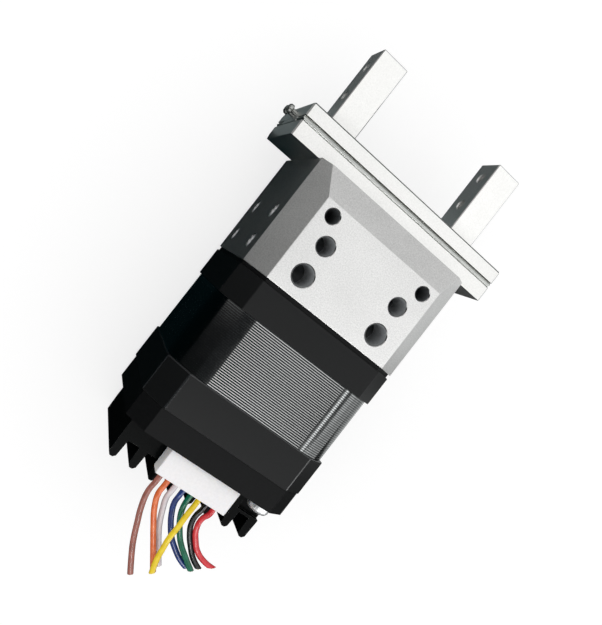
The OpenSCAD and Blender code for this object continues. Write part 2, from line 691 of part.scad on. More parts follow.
// Extruded comb with a foot that reaches through the housing to the driver chips
foot_half = 10.5;
sink_screws_at = [[-14.5, 0], [14.5, 0]];
fin_pitch = (sink_w - fin_t) / (fin_count - 1);
fin_tip = 0.7;
module heatsink() color("#101213") difference() {
  union() {
    translate([0, 0, -sink_rear]) linear_extrude(sink_front + sink_rear) union() {
      translate([-sink_w / 2, housing_end - sink_base]) square([sink_w, sink_base]);
      for (k = [0:fin_count - 1]) translate([-sink_w / 2 + fin_t / 2 + k * fin_pitch, housing_end - sink_base])
        polygon([[-fin_t / 2, eps], [-fin_t / 2 + 0.15, -fin_h + 0.6], [-fin_tip / 2, -fin_h],
                 [fin_tip / 2, -fin_h], [fin_t / 2 - 0.15, -fin_h + 0.6], [fin_t / 2, eps]]);
    }
    box(-foot_half + 0.2, foot_half - 0.2, housing_end - eps, board_y - board_t - driver_chip_h,
        -foot_half + 1.2, foot_half - 1.2);
  }
  for (p = sink_screws_at) rod_y(p[0], p[1], housing_end - 3, housing_end + 1, m2_r + seat_gap);
  // open corner round the pan head
  box(sp - pan_r - free_gap, sink_w / 2 + 1, housing_end - sink_base + 0.6, housing_end + 1,
      sp - pan_r - free_gap, sink_front + 1);
}

// Short screws from inside the housing that hold the heatsink
sink_screw_in = 3.6;
sink_screw_r = 1.7;
sink_screw_head = 1;
module heatsink_screws() color("#8a8d8f") for (p = sink_screws_at)
  opposite() rotate([180, 0, 0]) translate([0, -2 * (housing_end + housing_wall), 0])
    cap_screw(p[0], p[1], housing_end + housing_wall - sink_screw_head, housing_end + housing_wall + sink_screw_in,
      m2_r, sink_screw_r, sink_screw_head);

function way_x(k) = (k - (ways - 1) / 2) * way_pitch;
header_end = board_y - board_t - header_h;
module connector_header() color("#e9e6e2") difference() {
  box(-plug_w / 2 + 0.1, plug_w / 2 - 0.1, header_end, board_y - board_t, plug_back + 0.2, plug_front - 0.2);
  for (k = [0:ways - 1]) rod_y(way_x(k), plug_z, header_end - 1, board_y, 0.4);
}

pin_half = 0.25;
module connector_pins() color("#c9a84e") for (k = [0:ways - 1])
  box(way_x(k) - pin_half, way_x(k) + pin_half, header_end - pin_out, board_y + 0.4, plug_z - pin_half, plug_z + pin_half);

module plug_housing() color("#f2f0ef") difference() {
  box(-plug_w / 2, plug_w / 2, plug_end, header_end - 0.05, plug_back, plug_front);
  for (k = [0:ways - 1]) rod_y(way_x(k), plug_z, header_end - pin_out - 0.6, header_end + 1, 0.5);
}

// ---------------------------------------------------------------- leads

// A tube of eight sides along the points of a route
sides = 8;
function unit(v) = v / norm(v);
function heading(p, i) = unit(p[min(i + 1, len(p) - 1)] - p[max(i - 1, 0)]);
function ring(c, t, r) = let(u = unit(cross(t, [0, 0.3, 1])), v = cross(u, t))
  [for (k = [0:sides - 1]) c + r * (cos(k * 360 / sides) * u + sin(k * 360 / sides) * v)];

module tube(p, r) {
  last = len(p) - 1;
  rings = [for (i = [0:last]) each ring(p[i], i == 0 ? [0, -1, 0] : heading(p, i), r)];
  walls = [for (i = [0:last - 1], k = [0:sides - 1]) let(a = i * sides, b = (k + 1) % sides)
    [a + k, a + b, a + sides + b, a + sides + k]];
  polyhedron(rings, concat([[for (k = [sides - 1:-1:0]) k]], walls,
    [[for (k = [0:sides - 1]) last * sides + k]]), convexity = 6);
}

// Each lead starts at its way in the plug's end; the other points are how far it has gone
// to the right, back and up by then
module lead(way, colour, steps) color(colour)
  tube([for (s = concat([[0, 0, 0]], steps)) [way_x(way) + s[0], plug_end - s[1], plug_z + s[2]]], lead_d / 2);

brown_steps = [[0, 2, 0], [-0.1, 4.5, 0], [0.8, 8, 0], [2.3, 11.5, 0], [4.2, 15.5, 0], [6, 18.5, 0], [8.3, 22, 0]];
orange_steps = [[0, 2, 0], [0, 3.8, 0], [1.1, 6.6, 0], [3.5, 10.2, 0], [6, 13.6, 0], [8.2, 16.6, 0], [10.1, 19.2, 0]];
white_steps = [[0, 2, 0], [0.2, 3.8, -0.8], [1.4, 6.8, -1.4], [3, 10, -1.6], [4.9, 12.8, -1.6], [7, 15.6, -1.6], [8.8, 18, -1.6]];
blue_steps = [[0, 2, 0], [0.2, 3.8, -0.4], [1.5, 6.5, -1], [3, 8.7, -1.2], [4.8, 10.8, -1.2], [7, 12.5, -1], [9.6, 14, -0.8], [12.2, 14.8, -0.6]];
green_steps = [[0, 2, 0], [0.2, 3.4, 0], [1.2, 5.8, -0.4], [2.9, 8.2, -0.6], [5, 10.6, -0.4], [7.6, 12.5, 0.2], [10.6, 14.4, 1]];
yellow_steps = [[0, 2, 0.2], [-0.4, 4, 1.2], [-0.8, 7.2, 2.6], [-1, 9.8, 3], [-0.6, 12.4, 2.8], [0, 15.4, 2.4], [1.2, 18.8, 2]];
black_steps = [[0, 2, 0], [-0.2, 3.6, -0.2], [0.3, 6, -0.6], [1.7, 8.3, -0.8], [3.5, 10.3, -0.8], [5.6, 12.2, -0.6], [8.2, 13.5, -0.2]];
red_steps = [[0, 2, 0], [-0.7, 3.5, 0], [-0.3, 6.1, 0], [1.2, 8.3, 0], [3.2, 10.2, 0], [5.9, 11.3, 0], [8.7, 11.6, 0]];

module lead_brown() lead(0, "#9c6357", brown_steps);
module lead_orange() lead(1, "#e87540", orange_steps);
module lead_white() lead(2, "#e4dee0", white_steps);
module lead_blue() lead(3, "#1f3a7a", blue_steps);
module lead_green() lead(4, "#0f6e52", green_steps);
module lead_yellow() lead(5, "#f2d21e", yellow_steps);
module lead_black() lead(6, "#15171a", black_steps);
module lead_red() lead(7, "#d83038", red_steps);

place() gripper_body();
place() guide_base();
place() guide_cover();
place() upper_guide_strip();
place() lower_guide_strip();
place() base_screws();
place() cover_screws();
place() end_studs();
place() left_finger();
place() left_slider();
place() left_rack();
place() left_finger_screws();
place() left_rack_screw();
place() right_finger();
place() right_slider();
place() right_rack();
place() right_finger_screws();
place() right_rack_screw();
place() motor_shaft();
place() pinion();
place() rotor_core();
place() sensor_magnet();
place() motor_shim();
place() motor_front_cap();
place() front_bearing();
place() front_winding();
place() stator_stack();
place() rear_winding();
place() rear_bearing();
place() motor_rear_cap();
place() motor_screws();
place() pan_head_screw();
place() driver_housing();
place() driver_board();
place() sensor_chip();
place() driver_chips();
place() heatsink();
place() heatsink_screws();
place() connector_header();
place() connector_pins();
place() plug_housing();
place() lead_brown();
place() lead_orange();
place() lead_white();
place() lead_blue();
place() lead_green();
place() lead_yellow();
place() lead_black();
place() lead_red();
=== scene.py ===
# Electric two finger gripper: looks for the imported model. Metres, in the model's own frame.
import json
import math
import bmesh
import bpy
from mathutils import Matrix, Vector

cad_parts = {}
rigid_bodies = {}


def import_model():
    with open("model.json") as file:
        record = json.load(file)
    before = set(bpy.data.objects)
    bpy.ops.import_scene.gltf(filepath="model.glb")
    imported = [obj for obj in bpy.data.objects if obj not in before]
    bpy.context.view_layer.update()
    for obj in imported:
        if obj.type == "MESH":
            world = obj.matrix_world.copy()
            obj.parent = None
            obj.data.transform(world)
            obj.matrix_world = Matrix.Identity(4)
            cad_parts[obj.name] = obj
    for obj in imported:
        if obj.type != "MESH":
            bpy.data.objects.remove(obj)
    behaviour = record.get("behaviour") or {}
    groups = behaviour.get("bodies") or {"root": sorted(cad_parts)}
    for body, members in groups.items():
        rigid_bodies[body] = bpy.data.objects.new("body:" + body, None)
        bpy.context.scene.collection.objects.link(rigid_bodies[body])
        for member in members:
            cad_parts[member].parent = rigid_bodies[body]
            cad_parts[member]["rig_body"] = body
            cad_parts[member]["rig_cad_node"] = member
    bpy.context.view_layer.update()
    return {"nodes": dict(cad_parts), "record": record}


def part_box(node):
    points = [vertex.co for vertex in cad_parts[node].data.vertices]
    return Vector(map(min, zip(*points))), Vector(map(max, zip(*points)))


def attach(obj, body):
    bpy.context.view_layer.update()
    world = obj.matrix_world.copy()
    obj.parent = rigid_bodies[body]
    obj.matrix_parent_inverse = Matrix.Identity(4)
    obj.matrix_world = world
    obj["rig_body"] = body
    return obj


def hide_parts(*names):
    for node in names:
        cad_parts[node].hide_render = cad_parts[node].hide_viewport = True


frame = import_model()
nodes = frame["nodes"]
mm = 0.001
weld = 0.002 * mm  # points of a mesh that are closer than this are made one
bodyLow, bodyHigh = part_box("gripper_body")
faceY = bodyLow[1]  # the body's motor side, where the construction counts from
axisZ = (bodyLow[2] + bodyHigh[2]) / 2  # height of the motor axis
bodyHalf = (bodyHigh[2] - bodyLow[2]) / 2 / mm  # from the motor axis to the body's faces, mm
print("frame loaded:", len(nodes), "nodes")


def fromAxis(x, y, z):  # the place of a point given in mm from the motor axis at the body's motor side
    return Vector((x * mm, faceY + y * mm, axisZ + z * mm))


# camera
camera = {
    "place": (-52.09, -4.58, 171.69),  # mm, from the motor axis at the body's motor side
    "right": (0.7373, 0.6143, 0.2811),
    "up": (-0.5758, 0.7891, -0.2141),
    "back": (-0.3534, -0.0040, 0.9355),
    "sensor": 36, "lens": 45.83,  # mm
    "shift": (-0.0506, 0.0666),  # across and up, in parts of the sensor's width
    "clip": (0.01, 20),  # nearest and farthest that is seen, metres
}


def addCamera(look):
    lens = bpy.data.cameras.new("studioCamera")
    lens.sensor_fit = "HORIZONTAL"
    lens.sensor_width = look["sensor"]
    lens.lens = look["lens"]
    lens.shift_x, lens.shift_y = look["shift"]
    lens.clip_start, lens.clip_end = look["clip"]
    stand = bpy.data.objects.new("studioCamera", lens)
    bpy.context.scene.collection.objects.link(stand)
    turn = Matrix((look["right"], look["up"], look["back"])).transposed().to_quaternion()
    stand.matrix_world = Matrix.Translation(fromAxis(*look["place"])) @ turn.to_matrix().to_4x4()
    bpy.context.scene.camera = stand


addCamera(camera)
print("camera placed")

# material tools


def linear(code):  # an sRGB hex value as linear light, with full alpha
    parts = [int(code[i:i + 2], 16) / 255 for i in (1, 3, 5)]
    return [c / 12.92 if c <= 0.04045 else ((c + 0.055) / 1.055) ** 2.4 for c in parts] + [1.0]


def perMm(size):  # noise scale for features of this size in mm
    return 1 / (size * mm)


def addNode(tree, kind, inputs=None, stops=(), **settings):
    node = tree.nodes.new("ShaderNode" + kind)
    for key, value in settings.items():
        setattr(node, key, value)
    for key, value in (inputs or {}).items():
        if isinstance(value, bpy.types.NodeSocket):
            tree.links.new(value, node.inputs[key])
        else:
            node.inputs[key].default_value = value
    for i, (place, code) in enumerate(stops):  # a new ramp has two marks
        mark = node.color_ramp.elements[i] if i < 2 else node.color_ramp.elements.new(place)
        mark.position = place
        mark.color = linear(code)
    return node


def newFinish(name, **values):  # values have the shader's own names, with _ for a space
    finish = bpy.data.materials.new(name)
    finish.use_nodes = True
    tree = finish.node_tree
    shader = tree.nodes["Principled BSDF"]
    for key, value in values.items():
        shader.inputs[key.replace("_", " ")].default_value = value
    place = addNode(tree, "TexCoord").outputs["Object"]
    return finish, tree, shader, place


def followPattern(tree, shader, pattern, tones, rough, relief=None, tint=None):
    # a pattern gives the roughness, from low to high, and the relief, as its strength and its depth in mm;
    # the tone follows it too, or follows the tint where there is one
    tone = addNode(tree, "ValToRGB", {"Fac": pattern if tint is None else tint}, stops=tones)
    tree.links.new(tone.outputs["Color"], shader.inputs["Base Color"])
    dull = addNode(tree, "MapRange", {"Value": pattern, "To Min": rough[0], "To Max": rough[1]})
    tree.links.new(dull.outputs["Result"], shader.inputs["Roughness"])
    if relief:
        bump = addNode(tree, "Bump", {"Height": pattern, "Strength": relief[0], "Distance": relief[1] * mm})
        tree.links.new(bump.outputs["Normal"], shader.inputs["Normal"])


# materials


def blastedAluminium(name, dark, light, rough):
    # aluminium plate, milled, bead blasted and clear anodised: a fine dull grain with no direction
    finish, tree, shader, place = newFinish(name, Metallic=1.0)
    # blasting grain is about 0.05 mm; drawn at 0.28 mm so that it shows
    grain = addNode(tree, "TexNoise",
                    {"Vector": place, "Scale": perMm(0.28), "Detail": 4.0, "Roughness": 0.65})
    cloud = addNode(tree, "TexNoise", {"Vector": place, "Scale": perMm(8), "Detail": 2.0})
    mixed = addNode(tree, "Mix", {"Factor": 0.15, 2: grain.outputs["Fac"], 3: cloud.outputs["Fac"]})
    followPattern(tree, shader, grain.outputs["Fac"], [(0.36, dark), (0.64, light)],
                  (rough - 0.07, rough + 0.07), (0.25, 0.02), tint=mixed.outputs[0])
    return finish


def groundSteel(name, dark, light):
    # hardened steel, surface ground: fine lines along X, the way the wheel travels
    finish, tree, shader, place = newFinish(name, Metallic=1.0)
    # grinding lines are 0.02 mm apart; drawn 0.12 mm apart and 40 times as long
    drawn = addNode(tree, "Mapping", {"Vector": place, "Scale": (0.025, 1, 1)})
    lines = addNode(tree, "TexNoise", {"Vector": drawn.outputs[0], "Scale": perMm(0.12), "Detail": 3.0})
    followPattern(tree, shader, lines.outputs["Fac"], [(0.3, dark), (0.7, light)], (0.24, 0.42), (0.3, 0.01))
    return finish


def stampedLaminations():
    # stamped silicon steel sheets, ground on the four flat sides; the round corners are as blanked
    finish, tree, shader, place = newFinish("stamped_silicon_steel", Metallic=1.0)
    sheets = 33  # of 0.5 mm each
    low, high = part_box("stator_stack")
    spot = addNode(tree, "SeparateXYZ", {0: place}).outputs
    fromEnd = addNode(tree, "Math", {0: spot["Y"], 1: low[1]}, operation="SUBTRACT")
    count = addNode(tree, "Math", {0: fromEnd.outputs[0], 1: (high[1] - low[1]) / sheets}, operation="DIVIDE")
    part = addNode(tree, "Math", {0: count.outputs[0]}, operation="FRACT")
    # the edge wanders by a few hundredths of a sheet from place to place
    wear = addNode(tree, "TexNoise", {"Vector": place, "Scale": perMm(2.5), "Detail": 3.0})
    shift = addNode(tree, "MapRange", {"Value": wear.outputs["Fac"], "To Min": -0.04, "To Max": 0.04})
    edge = addNode(tree, "Math", {0: part.outputs[0], 1: shift.outputs["Result"]}, operation="ADD")
    ground = addNode(tree, "ValToRGB", {"Fac": edge.outputs[0]},
                     stops=[(0.26, "#3a3d3e"), (0.4, "#d2d2d1"), (0.5, "#c6c6c5"), (0.64, "#3a3d3e")])
    blanked = addNode(tree, "ValToRGB", {"Fac": edge.outputs[0]},
                      stops=[(0.2, "#565858"), (0.36, "#9a9c9c"), (0.52, "#929494"), (0.66, "#565858")])
    # a corner is where both distances from the axis pass the start of its radius; the ground side
    # fades into it from the first of these to the second
    cornerStart = (12.0 * mm, 12.3 * mm)
    across = addNode(tree, "Math", {0: spot["X"]}, operation="ABSOLUTE")
    height = addNode(tree, "Math", {0: spot["Z"], 1: axisZ}, operation="SUBTRACT")
    upright = addNode(tree, "Math", {0: height.outputs[0]}, operation="ABSOLUTE")
    nearer = addNode(tree, "Math", {0: across.outputs[0], 1: upright.outputs[0]}, operation="MINIMUM")
    corner = addNode(tree, "MapRange",
                     {"Value": nearer.outputs[0], "From Min": cornerStart[0], "From Max": cornerStart[1]})
    tone = addNode(tree, "Mix", {"Factor": corner.outputs["Result"], 6: ground.outputs["Color"],
                                 7: blanked.outputs["Color"]}, data_type="RGBA")
    tree.links.new(tone.outputs[2], shader.inputs["Base Color"])
    # the blanked corners are smoother than the ground sides
    dull = addNode(tree, "MapRange", {"Value": wear.outputs["Fac"], "To Min": 0.17, "To Max": 0.26})
    smoother = addNode(tree, "MapRange", {"Value": corner.outputs["Result"], "To Min": 1.0, "To Max": 0.65})
    rough = addNode(tree, "Math", {0: dull.outputs["Result"], 1: smoother.outputs["Result"]},
                    operation="MULTIPLY")
    tree.links.new(rough.outputs[0], shader.inputs["Roughness"])
    return finish


def fineSkin(name, dark, light, size, rough, depth, **values):
    # enamel, plastic or cut metal with a fine even skin; its texture's size and depth are in mm
    finish, tree, shader, place = newFinish(name, **values)
    skin = addNode(tree, "TexNoise", {"Vector": place, "Scale": perMm(size), "Detail": 5.0, "Roughness": 0.6})
    followPattern(tree, shader, skin.outputs["Fac"], [(0.3, dark), (0.7, light)],
                  (rough - 0.06, rough + 0.06), (0.4, depth))
    return finish


def extrudedBlack():
    # extruded aluminium, black anodised: die lines run along the fins
    finish, tree, shader, place = newFinish("extruded_black_anodised_aluminium", Specular_IOR_Level=0.05)
    # die lines are about 0.1 mm apart; drawn 0.3 mm apart
    drawn = addNode(tree, "Mapping", {"Vector": place, "Scale": (1, 1, 0.03)})
    lines = addNode(tree, "TexNoise", {"Vector": drawn.outputs[0], "Scale": perMm(0.3), "Detail": 3.0})
    followPattern(tree, shader, lines.outputs["Fac"], [(0.3, "#040606"), (0.7, "#0a0d0d")],
                  (0.3, 0.5), (0.4, 0.02))
    return finish


def platedScrew(name, dark, light, rough):
    # drawn or cold headed metal, plated or blackened: it keeps faint tool marks
    finish, tree, shader, place = newFinish(name, Metallic=1.0)
    marks = addNode(tree, "TexNoise", {"Vector": place, "Scale": perMm(0.4), "Detail": 4.0})
    followPattern(tree, shader, marks.outputs["Fac"], [(0.3, dark), (0.7, light)],
                  (rough - 0.05, rough + 0.08))
    return finish


def mouldedNylon():
    # natural nylon, injection moulded: nearly white, a little translucent, a faint sheen
    finish, tree, shader, place = newFinish("moulded_natural_nylon", IOR=1.53, Subsurface_Weight=0.5,
                                            Subsurface_Scale=1.5 * mm, Subsurface_Radius=(1.0, 0.9, 0.8))
    skin = addNode(tree, "TexNoise", {"Vector": place, "Scale": perMm(0.5), "Detail": 3.0})
    followPattern(tree, shader, skin.outputs["Fac"], [(0.3, "#f4f2f3"), (0.7, "#fbf9fa")],
                  (0.38, 0.5), (0.15, 0.02))
    return finish


def extrudedPvc(name, dark, light):
    # PVC insulation, extruded: smooth and glossy, with a slight waviness
    finish, tree, shader, place = newFinish("extruded_pvc_" + name, IOR=1.53)
    wave = addNode(tree, "TexNoise", {"Vector": place, "Scale": perMm(1.5), "Detail": 3.0})
    followPattern(tree, shader, wave.outputs["Fac"], [(0.35, dark), (0.65, light)], (0.16, 0.25), (0.1, 0.05))
    return finish


def solderMask():
    # glass fibre board under green solder mask; the tracks show through as a lighter grid
    finish, tree, shader, place = newFinish("solder_masked_board", IOR=1.5, Roughness=0.3)
    turned = addNode(tree, "Mapping", {"Vector": place, "Rotation": (math.radians(90), 0, 0)})
    tracks = addNode(tree, "TexBrick", {"Vector": turned.outputs[0], "Scale": perMm(4), "Mortar Size": 0.05,
                     "Color1": linear("#14492f"), "Color2": linear("#194f35"), "Mortar": linear("#2b7350")})
    tree.links.new(tracks.outputs["Color"], shader.inputs["Base Color"])
    return finish


def enamelledCopper():
    # magnet wire, wound side by side under clear enamel
    finish, tree, shader, place = newFinish("enamelled_copper_wire", Metallic=0.8, Roughness=0.3,
                                            Coat_Weight=0.5)
    # the wire is 0.3 mm thick; a wave of this scale draws a turn every 1.9 mm
    turns = addNode(tree, "TexWave", {"Vector": place, "Scale": perMm(6), "Distortion": 1.5},
                    wave_type="RINGS", rings_direction="Y")
    tone = addNode(tree, "ValToRGB", {"Fac": turns.outputs["Fac"]},
                   stops=[(0.2, "#5e2210"), (0.8, "#b86a3c")])
    tree.links.new(tone.outputs["Color"], shader.inputs["Base Color"])
    bump = addNode(tree, "Bump", {"Height": turns.outputs["Fac"], "Strength": 0.5, "Distance": 0.1 * mm})
    tree.links.new(bump.outputs["Normal"], shader.inputs["Normal"])
    return finish


finishes = {
    # milled plate, one blasted aluminium with tones painted to how light falls: darker on the body, lighter
    # on the fingers and the lapped guide; its edges rubbed smooth, their darker tone painting shade lines
    "blasted_aluminium": blastedAluminium("blasted_clear_anodised_aluminium", "#c8c8c7", "#e2e2e1", 0.43),
    "bright_aluminium": blastedAluminium("blasted_clear_anodised_aluminium_painted_lighter", "#eaeae8", "#f6f6f4", 0.43),
    "rail_aluminium": blastedAluminium("lapped_clear_anodised_aluminium_painted_lighter", "#dcdcda", "#e9e9e7", 0.31),
    # broken edges rubbed smoother; their tone, darker than the guide's and fingers', paints thin shade lines
    # along them
    "rubbed_aluminium": fineSkin("rubbed_aluminium_edge", "#c9cac9", "#dddedd", 0.3, 0.16, 0.003,
                                 Metallic=1.0),
    # what the tap and the drill leave: light threads; the front's narrow pair painted darker as shade deep in
    # the holes, and the drill points painted dark as shade at the bottoms
    "tapped_aluminium": fineSkin("tapped_aluminium", "#b2b5b7", "#cfd1d3", 0.3, 0.3, 0.005, Metallic=0.45),
    "bored_aluminium": fineSkin("bored_aluminium", "#6a6d6f", "#808385", 0.3, 0.4, 0.005, Metallic=0.45),
    "drill_point_painted_shade": fineSkin("drill_point_painted_shade", "#2b2d2e", "#3c3e3f", 0.3, 0.45, 0.005, Metallic=0.5),
    "hard_steel": groundSteel("ground_hardened_steel", "#a9aba8", "#c6c8c5"),
    "lamination_steel": stampedLaminations(),
    "black_steel": platedScrew("black_oxide_steel", "#4c5254", "#6a7173", 0.32),
    "plated_steel": platedScrew("zinc_plated_steel", "#dcdedf", "#f2f3f4", 0.4),
    "plated_brass": platedScrew("tin_plated_brass", "#b99a55", "#dcc27f", 0.25),
    # sprayed enamel on die cast caps, a slight orange peel; the broken edges glossier, with a lighter tone
    # that paints highlight lines
    "black_paint": fineSkin("black_enamel_on_die_cast", "#090b0c", "#0e1011", 0.35, 0.42, 0.01,
                            Specular_IOR_Level=0.2),
    "glossy_black_painted_highlight": fineSkin("black_enamel_edge_painted_highlight", "#1b1d1e", "#26292b", 0.35, 0.26, 0.005,
                               Specular_IOR_Level=0.6),
    # injection moulded in a spark eroded mould: fine and matt
    "black_plastic": fineSkin("moulded_black_abs", "#0a0b0c", "#101112", 0.5, 0.45, 0.012,
                              Specular_IOR_Level=0.1),
    "black_anodised": extrudedBlack(),
    "white_nylon": mouldedNylon(),
    "enamelled_copper": enamelledCopper(),
    "circuit_green": solderMask(),
    "pvc_brown": extrudedPvc("brown", "#8f574c", "#a8695d"),
    "pvc_orange": extrudedPvc("orange", "#e06a34", "#ee7f4a"),
    "pvc_white": extrudedPvc("white", "#dcd4d8", "#eae4e7"),
    "pvc_blue": extrudedPvc("blue", "#16306c", "#213f86"),
    "pvc_green": extrudedPvc("green", "#0a6247", "#137558"),
    "pvc_yellow": extrudedPvc("yellow", "#eccb12", "#f7da2c"),
    "pvc_black": extrudedPvc("black", "#101214", "#1a1d20"),
    "pvc_red": extrudedPvc("red", "#cf2a33", "#e03a42"),
}
print("materials made:", len(finishes))

# what every new piece goes through


def onlySelect(*objects):
    bpy.ops.object.select_all(action="DESELECT")
    for item in objects:
        item.select_set(True)
    bpy.context.view_layer.objects.active = objects[0]


def settle(piece, body, finish, slotName, *replaced):  # last step of a new piece
    piece.data.materials.clear()
    piece.data.materials.append(finish)
    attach(piece, body)
    if replaced:
        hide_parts(*replaced)


# leads: each is laid again along the construction's own route
leads = {
    "pitch": 2.0, "diameter": 1.3,  # mm
    # bare strands at the cut end: radius, radius of the ring that they stand in and length, mm
    "strandRadius": 0.14, "strandRing": 0.294, "strandLength": 0.9,
    # where insulation and strands are cut, mm back from the route's end
    "insulationCut": 0.35, "strandCuts": (0.3, 0.26, 0.22),
    # points of each route in mm from its way in the plug: to the right, rearwards and up
    "routes": {
        "brown": [(0, 2, 0), (-0.1, 4.5, 0), (0.8, 8, 0), (2.3, 11.5, 0), (4.2, 15.5, 0), (6, 18.5, 0),
                  (8.3, 22, 0)],
        "orange": [(0, 2, 0), (0, 3.8, 0), (1.1, 6.6, 0), (3.5, 10.2, 0), (6, 13.6, 0), (8.2, 16.6, 0),
                   (10.1, 19.2, 0)],
        "white": [(0, 2, 0), (0.2, 3.8, -0.8), (1.4, 6.8, -1.4), (3, 10, -1.6), (4.9, 12.8, -1.6),
                  (7, 15.6, -1.6), (8.8, 18, -1.6)],
        "blue": [(0, 2, 0), (0.2, 3.8, -0.4), (1.5, 6.5, -1), (3, 8.7, -1.2), (4.8, 10.8, -1.2),
                 (7, 12.5, -1), (9.6, 14, -0.8), (12.2, 14.8, -0.6)],
        "green": [(0, 2, 0), (0.2, 3.4, 0), (1.2, 5.8, -0.4), (2.9, 8.2, -0.6), (5, 10.6, -0.4),
                  (7.6, 12.5, 0.2), (10.6, 14.4, 1)],
        "yellow": [(0, 2, 0.2), (-0.4, 4, 1.2), (-0.8, 7.2, 2.6), (-1, 9.8, 3), (-0.6, 12.4, 2.8),
                   (0, 15.4, 2.4), (1.2, 18.8, 2)],
        "black": [(0, 2, 0), (-0.2, 3.6, -0.2), (0.3, 6, -0.6), (1.7, 8.3, -0.8), (3.5, 10.3, -0.8),
                  (5.6, 12.2, -0.6), (8.2, 13.5, -0.2)],
        "red": [(0, 2, 0), (-0.7, 3.5, 0), (-0.3, 6.1, 0), (1.2, 8.3, 0), (3.2, 10.2, 0), (5.9, 11.3, 0),
                (8.7, 11.6, 0)],
    },
}

trim = Vector(camera["up"])  # the leads are trimmed to one line, square to this direction


def roundLead(name, points, radius, cut):  # a round cord through the points, trimmed at the cut
    shape = bpy.data.curves.new(name, "CURVE")
    shape.dimensions = "3D"
    shape.bevel_depth = radius
    shape.bevel_resolution = 3
    shape.resolution_u = 5
    shape.use_fill_caps = True
    line = shape.splines.new("BEZIER")
    line.bezier_points.add(len(points) - 1)
    last = points[-1] + (points[-1] - points[-2]).normalized() * radius
    for mark, point in zip(line.bezier_points, points[:-1] + [last]):
        mark.co = point
        mark.handle_left_type = mark.handle_right_type = "AUTO"
    piece = bpy.data.objects.new(name, shape)
    bpy.context.scene.collection.objects.link(piece)
    onlySelect(piece)
    bpy.ops.object.convert(target="MESH")
    bpy.ops.object.mode_set(mode="EDIT")
    bpy.ops.mesh.select_all(action="SELECT")
    bpy.ops.mesh.remove_doubles(threshold=weld / 2)
    bpy.ops.mesh.bisect(plane_co=cut, plane_no=trim, clear_inner=True, use_fill=True)
    bpy.ops.object.mode_set(mode="OBJECT")
    bpy.ops.object.shade_smooth_by_angle(angle=math.radians(50))
    return bpy.context.view_layer.objects.active


def addStrands(colour, points, look):  # six bare strands round one in the middle
    along = (points[-1] - points[-2]).normalized()
    side = along.cross(Vector((0, 0, 1))).normalized()
    turns = [math.radians(60 * k) for k in range(6)]
    ring = [side * math.cos(turn) + along.cross(side) * math.sin(turn) for turn in turns]
    strands = []
    for k, off in enumerate(ring + [Vector()]):
        end = points[-1] + off * look["strandRing"] * mm
        start = end - along * look["strandLength"] * mm
        cut = points[-1] + trim * look["strandCuts"][k % 3] * mm
        strands.append(roundLead("strand", [start, end], look["strandRadius"] * mm, cut))
    onlySelect(*strands)
    bpy.ops.object.join()
    strands[0].name = "strands_" + colour
    settle(strands[0], "base", finishes["plated_brass"], "plated_brass")


def addLeads(look):
    plugLow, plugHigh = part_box("plug_housing")
    firstWay = (plugLow[0] + plugHigh[0]) / 2 - (len(look["routes"]) - 1) / 2 * look["pitch"] * mm
    for way, (colour, steps) in enumerate(look["routes"].items()):
        start = Vector((firstWay + way * look["pitch"] * mm, plugLow[1], (plugLow[2] + plugHigh[2]) / 2))
        points = [start] + [start + Vector((x, -y, z)) * mm for x, y, z in steps]
        cut = points[-1] + trim * look["insulationCut"] * mm
        lead = roundLead("insulation_" + colour, points, look["diameter"] / 2 * mm, cut)
        settle(lead, "base", finishes["pvc_" + colour], "pvc_" + colour, "lead_" + colour)
        addStrands(colour, points, look)


addLeads(leads)
print("leads laid:", len(leads["routes"]))

# machined, cast and moulded pieces: copies of the solids with their edges broken;
# the two halves of the guide, the two fingers and the two strips each share one look
# the guide and the fingers take lighter tones of the blasted plate, painted light
railLook = {"from": 2, "outer": True, "segments": 1, "even": True, "finish": "rail_aluminium",
            "edge": "rubbed_aluminium"}
fingerLook = {"from": 3, "segments": 1, "even": True, "finish": "bright_aluminium",
              "edge": "rubbed_aluminium"}
stripLook = {"from": 5, "segments": 5}

# shortest edge in mm, least angle in degrees and steps of the rounding, where a piece says no other
usual = {"from": 0, "angle": 32, "segments": 2}

# faces of a countersink: least and largest part of the normal along an axis, and largest area in mm2
countersink = {"slant": (0.65, 0.76), "area": 0.5}
